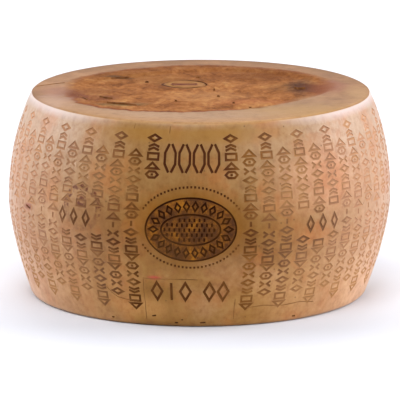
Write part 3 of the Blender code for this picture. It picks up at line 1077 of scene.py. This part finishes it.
def burned_oval(tree, colour, place, strip, fields):
    """Charred in blotches inside the oval, and a little paler between its two rings."""
    fields["reach"] = reach_from(tree, strip, *OVAL)
    colour = coated(tree, colour, fields, [("#7E4E04", 0.75, ("reach", 1.6, 1.0))])
    blotches = node(tree, "TexNoise", place, grain(17, 8, 0.78))
    between = node(tree, "MapRange", fields["reach"], 0.60, 0.70, 1.0, 1.16)
    char = node(tree, "HueSaturation", {
        "Color": node(tree, "ValToRGB", blotches, stops=CHAR), "Value": between})
    burned = node(tree, "MapRange", fields["reach"], 1.03, 0.97, 0.0, MOST_BURNED)
    spared = soft_spot(tree, strip, (-30, 88), (50, 24), blotches)
    kept = node(tree, "MULTIPLY_ADD", spared, -SPARED, 1.0)
    burned = node(tree, "MULTIPLY", burned, kept)
    return node(tree, "Mix", burned, colour, char, data_type="RGBA"), burned


def ink_marks(tree, colour, place, strip, fields):
    """The smeared ring is stronger towards its top. The streak and the stained gash are soft spots."""
    fields["smear"] = node(tree, "TexNoise", strip, grain(7, 4, 0.7))
    low, high = (STAMP_CENTRE[1] - 12) * MM, (STAMP_CENTRE[1] + 4) * MM
    for centre, radius, inner in STAMP_RINGS:
        fields["ring"] = node(tree, "ValToRGB", reach_from(tree, strip, centre, (radius, radius)), stops=(
            (inner - 0.06, "#000000"), (inner, "#FFFFFF"), (0.94, "#FFFFFF"), (1.0, "#000000")))
        colour = coated(tree, colour, fields, [
            ("#5A2412", 1.0, ("ring", 0.0, 1.0), ("smear", 0.44, 0.54), ("up", low, high, 0.25, 0.9))])
    return spotted(tree, colour, strip, node(tree, "TexNoise", place, grain(15, 5, 0.6)), HANDLING_SPOTS)


# %% Rind: put together
SPECK_SPACING = 16       # mm


def build_side_material(tree):
    """Satin where it is oiled, dull where it is charred, with fine pores and a slow waviness."""
    place, strip, fields = strip_fields(tree)
    colour = rind_skin(tree, place, strip, fields)
    colour, burned = burned_oval(tree, colour, place, strip, fields)
    colour = ink_marks(tree, colour, place, strip, fields)

    # Dark specks of a millimetre or so are scattered all over.
    fields["speck"] = node(tree, "TexVoronoi", place, {"Scale": 1000 / SPECK_SPACING})
    colour = coated(tree, colour, fields, [("#5A3618", 0.6, ("speck", 0.075, 0.045))])

    # Real pores are finer than a millimetre. They are drawn 3 mm coarse, so that they show.
    pores = node(tree, "TexNoise", place, grain(3.2, 5, 0.6))
    waves = node(tree, "TexNoise", place, grain(14, 4, 0.6))
    bump = node(tree, "Bump", {"Height": pores, "Strength": 0.3, "Distance": 0.0006})
    bump = node(tree, "Bump", {"Height": waves, "Strength": 0.2, "Distance": 0.0012, "Normal": bump})
    node(tree, "OutputMaterial", node(tree, "BsdfPrincipled", {
        "Base Color": colour, "Roughness": node(tree, "MapRange", burned, 0.0, MOST_BURNED, 0.38, 0.85),
        "IOR": 1.45, "Specular IOR Level": 0.35, "Sheen Weight": 0.15, "Sheen Roughness": 0.3,
        "Normal": bump}))


build_side_material(side_tree)
print("side finish:", len(side_tree.nodes), "nodes")

# %% [markdown]
# The top lies uppermost on the shelf. Its rim is smooth and pale, and the sunk middle has dried
# brown and rough. It is dull, because it was never rubbed, so it has a finish of its own.

# %% Top: the rim and the sunk middle
OILED = ("forward", 0.02, 0.16)          # the near part of the rim, which the brush reaches
RIM_PATCHES = ((0.35, "#735032"), (0.5, "#7D5838"), (0.65, "#8A6444"))
RIM_COATS = (            # oiled near part, its outer band, a painted highlight on its very edge, and the dark far edge
    ("#8A6D52", 0.8, OILED),
    ("#91673A", 0.56, ("reach", TOP_RADIUS - 0.032, TOP_RADIUS - 0.010), OILED),
    ("#B48C5E", 0.48, ("reach", TOP_RADIUS - 0.004, TOP_RADIUS - 0.001), OILED),
    ("#5C3C1E", 0.65, ("reach", TOP_RADIUS - 0.022, TOP_RADIUS), ("forward", -0.08, -0.16)),
)
RIM_SHADES = ((0.32, "#B8A698"), (0.46, "#EDE4DA"), (0.60, "#FFFFFF"))
MIDDLE_PATCHES = ((0.36, "#693C15"), (0.45, "#7E4D23"), (0.54, "#8E5C30"), (0.66, "#9D7042"))
CRUMB_SHADES = ((0.34, "#8E6E50"), (0.46, "#E2D2BE"), (0.60, "#FFFFFF"))


def rim_colour(tree, place, fields):
    colour = node(tree, "ValToRGB", node(tree, "TexNoise", place, grain(60, 6, 0.55)), stops=RIM_PATCHES)
    colour = coated(tree, colour, fields, RIM_COATS)
    return shaded(tree, colour, 0.55, node(tree, "TexNoise", place, grain(12, 7, 0.68)), RIM_SHADES)


def middle_colour(tree, place):
    streaks = node(tree, "Mapping", {"Vector": place, "Rotation": (0, 0, 0.2), "Scale": (1.15, 0.8, 1)})
    patches = node(tree, "TexNoise", streaks, grain(30, 8, 0.66, 0.5))
    colour = node(tree, "ValToRGB", patches, stops=MIDDLE_PATCHES)
    return shaded(tree, colour, 0.55, node(tree, "TexNoise", streaks, grain(6, 5, 0.7)), CRUMB_SHADES)


# %% Top: stains
TOP_STAINS = (           # centre and half sizes in mm, tint, strength
    ((150, 22), (26, 46), "#865440", 0.6), ((135, 14), (16, 44), "#703A20", 0.7),
    ((98, 28), (30, 40), "#6B4420", 0.5), ((119, 30), (25, 58), "#3C1E10", 0.95),
    ((-166, -12), (24, 42), "#84584A", 0.5), ((-139, -31), (18, 32), "#5A261A", 0.9),
    ((-60, 85), (80, 45), "#6A4018", 0.4),
    ((-107, -36), (22, 22), "#5A2E20", 0.6), ((-88, -74), (40, 14), "#57462A", 0.75),
    ((-94, 86), (22, 7), "#4C3420", 0.8), ((-30, 62), (45, 25), "#6A4520", 0.3),
    ((60, -60), (60, 25), "#8A4A2C", 0.35), ((10, -25), (62, 40), "#A0744C", 0.35),
    ((62, 96), (62, 46), "#5C300A", 0.7), ((144, 20), (32, 60), "#6A3A22", 0.65),
    ((-142, -24), (30, 60), "#683C26", 0.7), ((-112, 4), (34, 36), "#643818", 0.5),
    ((-168, -75), (30, 60), "#A08474", 0.4), ((120, -125), (90, 50), "#8C6834", 0.5),
    ((184, -20), (22, 60), "#98764E", 0.5),
)

# %% Top: put together
FAR_SHADE = ((0.0, "#000000"), (0.12, "#C0C0C0"), (0.4, "#808080"), (1.0, "#000000"))
NEAR_LINE = ((0.06, "#FFFFFF"), (0.22, "#C89684"), (0.34, "#E4CCBA"), (0.65, "#FFFFFF"))
PLATE_SHADOW = ((0.14, "#7C6446"), (0.30, "#A08260"), (0.44, "#FFFFFF"))
PLATE_OVAL = ((PLATE_CENTRE.x / MM, PLATE_CENTRE.y / MM), (PLATE_LENGTH / 2 / MM, PLATE_WIDTH / 2 / MM))


def build_top_material(tree):
    """Dull all over, and roughest in the brown middle."""
    place = node(tree, "TexCoord").outputs["Object"]
    forward = node(tree, "MULTIPLY", node(tree, "SeparateXYZ", place).outputs["Y"], -1)
    fields = {"forward": forward, "reach": reach_from(tree, place, (0, 0), (1000, 1000))}

    # The brown's edge is pushed in and out by noise, and is soft or crisp as the mesh says.
    cloud = node(tree, "TexNoise", place, grain(15, 5, 0.6))
    depth, soft = (node(tree, "Attribute", attribute_name=name).outputs["Fac"]
                   for name in ("brown_depth", "brown_soft"))
    ragged = node(tree, "SUBTRACT", cloud, 0.5)
    pushed = node(tree, "MULTIPLY_ADD", ragged, 0.016, depth)
    half = node(tree, "MULTIPLY", soft, 0.5)
    sunk = node(tree, "MapRange", pushed, node(tree, "MULTIPLY", half, -1), half)
    colour = node(tree, "Mix", sunk, rim_colour(tree, place, fields), middle_colour(tree, place),
                  data_type="RGBA")

    # It is darkest along its far edge, and a thin red line runs along its near edge.
    fields["far_edge"] = node(tree, "ValToRGB", node(tree, "MapRange", pushed, 0.0, 0.06), stops=FAR_SHADE)
    colour = coated(tree, colour, fields, [
        ("#5E3008", 1.0, ("far_edge", 0.0, 1.0), ("forward", -0.03, -0.11))])
    crisp = node(tree, "MapRange", soft, 0.014, 0.005)
    colour = shaded(tree, colour, crisp, node(tree, "MapRange", pushed, -0.004, 0.016), NEAR_LINE)
    colour = spotted(tree, colour, place, cloud, TOP_STAINS)
    round_plate = node(tree, "MapRange", reach_from(tree, place, *PLATE_OVAL), 0.9, 1.4)
    colour = shaded(tree, colour, 0.9, round_plate, PLATE_SHADOW)

    pores = node(tree, "TexNoise", place, grain(3, 5, 0.6))
    crags = node(tree, "TexNoise", place, grain(13, 8, 0.72))
    strong = node(tree, "MULTIPLY_ADD", sunk, 0.8, 0.15)
    bump = node(tree, "Bump", {"Height": pores, "Strength": 0.3, "Distance": 0.0006})
    bump = node(tree, "Bump", {"Height": crags, "Strength": strong, "Distance": 0.0035, "Normal": bump})
    node(tree, "OutputMaterial", node(tree, "BsdfPrincipled", {
        "Base Color": colour, "Roughness": node(tree, "MapRange", sunk, 0.0, 1.0, 0.6, 0.95),
        "IOR": 1.45, "Specular IOR Level": 0.15, "Normal": bump}))


build_top_material(top_tree)
print("top finish:", len(top_tree.nodes), "nodes")

# %% [markdown]
# The floors of the marks stay darker than the skin round them, because oil and dust gather there
# and the brush doesn't reach. They are darkest at the front, worn out in patches, painted paler at
# the sides as a painted sheen, and black inside the burned oval. They are dull.

# %% Grooves
GROOVE_PATCHES = ((0.38, "#593416"), (0.50, "#6B421E"), (0.62, "#84562A"))
CHARRED_GROOVE = ((0.42, "#2A1002"), (0.52, "#381B04"), (0.62, "#52300A"))
BESIDE = ("across", 0.058, 0.070)        # past the front panel
GROOVE_COATS = (         # painted sheen that makes the sides paler, dark high up on the front, and rubbed patches beside it
    ("#BC8E70", 0.9, *PAINTED_SHEEN_SIDES),
    ("#4A2414", 1.0, ("across", 0.055, 0.04), ("up", 0.12, 0.17, 0.3, 0.85)),
    ("#AC7E48", 0.3, ("rubbed", 0.48, 0.64), BESIDE),
    # Beside the front panel, the marks at the oval's height are darker and those above it paler.
    ("#482410", 0.6, ("up", 0.080, 0.096), ("up", 0.136, 0.120), ("across", 0.17, 0.14), BESIDE),
    ("#B48C5C", 0.2, ("up", 0.142, 0.158), ("up", 0.198, 0.182), ("across", 0.17, 0.14), BESIDE),
    ("#AC7E50", 0.8, ("up", 0.095, 0.030), ("across", 0.105, 0.140)),      # painted bounce light from the floor: paler low down at the sides
)
FADED_SPOTS = [((120, 145), (60, 75), "#A67A52", 0.45)]
GROUP_SPOTS = [(centre, (48, 24), "#5A341C", 0.4) for centre in SIDE_GROUPS]
SPARED_SPOTS = [((-34, 88), (60, 36), "#7E5428", 0.3)]


def build_groove_material(tree):
    place, strip, fields = strip_fields(tree)
    worn = node(tree, "TexNoise", place, grain(75, 5, 0.6))
    fields |= {"rubbed": node(tree, "TexNoise", place, grain(22, 4, 0.65)),
               "reach": reach_from(tree, strip, *OVAL)}
    colour = node(tree, "ValToRGB", worn, stops=GROOVE_PATCHES)
    colour = coated(tree, colour, fields, GROOVE_COATS)
    colour = spotted(tree, colour, strip, worn, FADED_SPOTS)
    colour = spotted(tree, colour, strip, worn, GROUP_SPOTS, core=0.5)
    charred = node(tree, "ValToRGB", worn, stops=CHARRED_GROOVE)
    charred = spotted(tree, charred, strip, worn, SPARED_SPOTS, core=0.5)
    colour = coated(tree, colour, fields, [(charred, 1.0, ("reach", 1.06, 1.0))])
    node(tree, "OutputMaterial", node(tree, "BsdfPrincipled", {
        "Base Color": colour, "Roughness": 0.7, "IOR": 1.45, "Specular IOR Level": 0.05}))


build_groove_material(groove_tree)
print("groove finish:", len(groove_tree.nodes), "nodes")

# %% [markdown]
# Cracks and pits are dry broken skin with dust in it. A fine crease on the side is only a little
# darker than the rind, and a pit or a deep crack is a dull brown.

# %% Cracks and pits


def build_dusty_material(tree, millimetres, low, high):
    place = node(tree, "TexCoord").outputs["Object"]
    dust = node(tree, "TexNoise", place, grain(millimetres, 4))
    colour = node(tree, "ValToRGB", dust, stops=((0.38, low), (0.62, high)))
    node(tree, "OutputMaterial", node(tree, "BsdfPrincipled", {
        "Base Color": colour, "Roughness": 0.85, "IOR": 1.45, "Specular IOR Level": 0.2}))


build_dusty_material(crease_tree, 20, "#80562E", "#9E7240")
build_dusty_material(pit_tree, 8, "#5E381C", "#7C4E28")
print("crease and pit finishes:", len(crease_tree.nodes), "nodes each")

# %% [markdown]
# Casein is a hard milk protein. The plate is pressed from it and takes up the stain of its ink:
# brown between dark rings, matt, with a plain bar of ink across the middle.

# %% Plate
plate_material, plate_tree = new_material("pressed_casein_stained_by_ink")
PLATE_RINGS = ((0.0, "#80562C"), (0.56, "#7C5426"), (0.62, "#4E2A0C"), (0.68, "#80582C"),
               (0.84, "#7C562A"), (0.92, "#46260C"), (1.0, "#6A4420"))
BAR_HALF_SIZE = (15, 6)
PLATE_COATS = (          # worn patches, then the bar of ink
    ("#845A34", 0.8, ("worn", 0.40, 0.60)),
    ("#4E1C0C", 1.0, ("off_bar", 1.02, 0.94), ("ink", 0.35, 0.6, 0.65, 1.0)),
)


def build_plate_material(tree):
    place = node(tree, "TexCoord").outputs["Object"]
    bar = local_place(tree, place, PLATE_OVAL[0], BAR_HALF_SIZE)
    off = node(tree, "VectorMath", bar, operation="ABSOLUTE")
    along, beside, unused = node(tree, "SeparateXYZ", off).outputs
    fields = {"worn": node(tree, "TexNoise", place, grain(16, 4)),
              "ink": node(tree, "TexNoise", place, grain(5, 4)),
              "off_bar": node(tree, "MAXIMUM", along, beside)}
    colour = node(tree, "ValToRGB", reach_from(tree, place, *PLATE_OVAL), stops=PLATE_RINGS)
    colour = coated(tree, colour, fields, PLATE_COATS)
    node(tree, "OutputMaterial", node(tree, "BsdfPrincipled", {
        "Base Color": colour, "Roughness": 0.8, "IOR": 1.5, "Specular IOR Level": 0.08}))


build_plate_material(plate_tree)
plate.data.materials.append(plate_material)
print("plate finish:", len(plate_tree.nodes), "nodes")

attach(rind, "root")
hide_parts("wheel")
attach(plate, "root")
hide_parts("casein_plate")
print("rind stands for wheel, and casein_plate_detailed for casein_plate")

# %% [markdown]
# The studio is plain: a pale floor that runs far back, a white surround, and soft boxes at both
# sides, behind, in front and front right. They give part of the pale sheen along both sides of the
# barrel, and the rest of it is painted into the rind's colour.
# The floor ends just out of the frame in front, and the surround is dim there, so that the dark
# marks stay deep.

# %% Floor and surround
FLOOR_HALF_WIDTH = 9
FLOOR_FRONT = -0.6
FLOOR_BACK = 30
SURROUND = (-0.2, 0.5, 0.08, 1.15)       # from and to, backwards; brightness from and to

floor_mesh = bpy.data.meshes.new("studio_floor")
floor_mesh.from_pydata([(-FLOOR_HALF_WIDTH, FLOOR_FRONT, 0), (FLOOR_HALF_WIDTH, FLOOR_FRONT, 0),
                        (FLOOR_HALF_WIDTH, FLOOR_BACK, 0), (-FLOOR_HALF_WIDTH, FLOOR_BACK, 0)],
                       [], [(0, 1, 2, 3)])
floor = add_object("studio_floor", floor_mesh)
floor_material, floor_tree = new_material("white_paper_sweep")
node(floor_tree, "OutputMaterial", node(
    floor_tree, "BsdfPrincipled", {"Base Color": "#C8CAD2", "Roughness": 0.9}))
floor.data.materials.append(floor_material)

world = bpy.data.worlds.new("white_studio")
world.use_nodes = True
sky = world.node_tree
sky.nodes.clear()
backwards = node(sky, "SeparateXYZ", node(sky, "TexCoord").outputs["Generated"]).outputs["Y"]
lit = node(sky, "MapRange", backwards, *SURROUND)
bright = node(sky, "MAXIMUM", lit, node(sky, "LightPath").outputs["Is Camera Ray"])
node(sky, "OutputWorld", node(sky, "Background", "#FFFFFF", bright))
bpy.context.scene.world = world
bpy.context.scene.view_settings.view_transform = "Standard"

# %% Soft boxes and camera
CAMERA_DISTANCE = 6.0
CAMERA_LIFT = math.radians(12.04)
CAMERA_LENS = 466.3
SENSOR_WIDTH = 36
VIEW_END = 100
AIM = Vector((0.0006, 0.0, WHEEL_HEIGHT / 2 - 0.0123))
SOFT_BOXES = (           # name, place, side in metres, brightness
    ("soft_box_left", (-3.8, 0.8, 2.0), 3.0, 5.2),
    ("soft_box_right", (3.9, 0.5, 2.0), 3.0, 6.0),
    ("soft_box_behind", (0.0, 3.0, 4.2), 3.0, 4.0),
    ("soft_box_front", (-0.8, -3.0, 4.4), 2.8, 7.7),
    ("soft_box_front_right", (2.8, -3.4, 1.9), 2.0, 6.0),
)


def point_at_wheel(item, place):
    item.location = place
    item.rotation_euler = (AIM - item.location).to_track_quat("-Z", "Y").to_euler()


for name, place, size, brightness in SOFT_BOXES:
    light = bpy.data.lights.new(name, "AREA")
    light.shape = "SQUARE"
    light.size = size
    light.energy = brightness * math.pi * size * size
    point_at_wheel(add_object(name, light), place)

camera_data = bpy.data.cameras.new("camera")
camera_data.lens = CAMERA_LENS
camera_data.sensor_width = SENSOR_WIDTH
camera_data.clip_end = VIEW_END
camera = add_object("camera", camera_data)
point_at_wheel(camera, AIM + CAMERA_DISTANCE * Vector((0, -math.cos(CAMERA_LIFT), math.sin(CAMERA_LIFT))))
bpy.context.scene.camera = camera
print("studio:", len(SOFT_BOXES), "soft boxes, camera at", [round(v, 2) for v in camera.location])
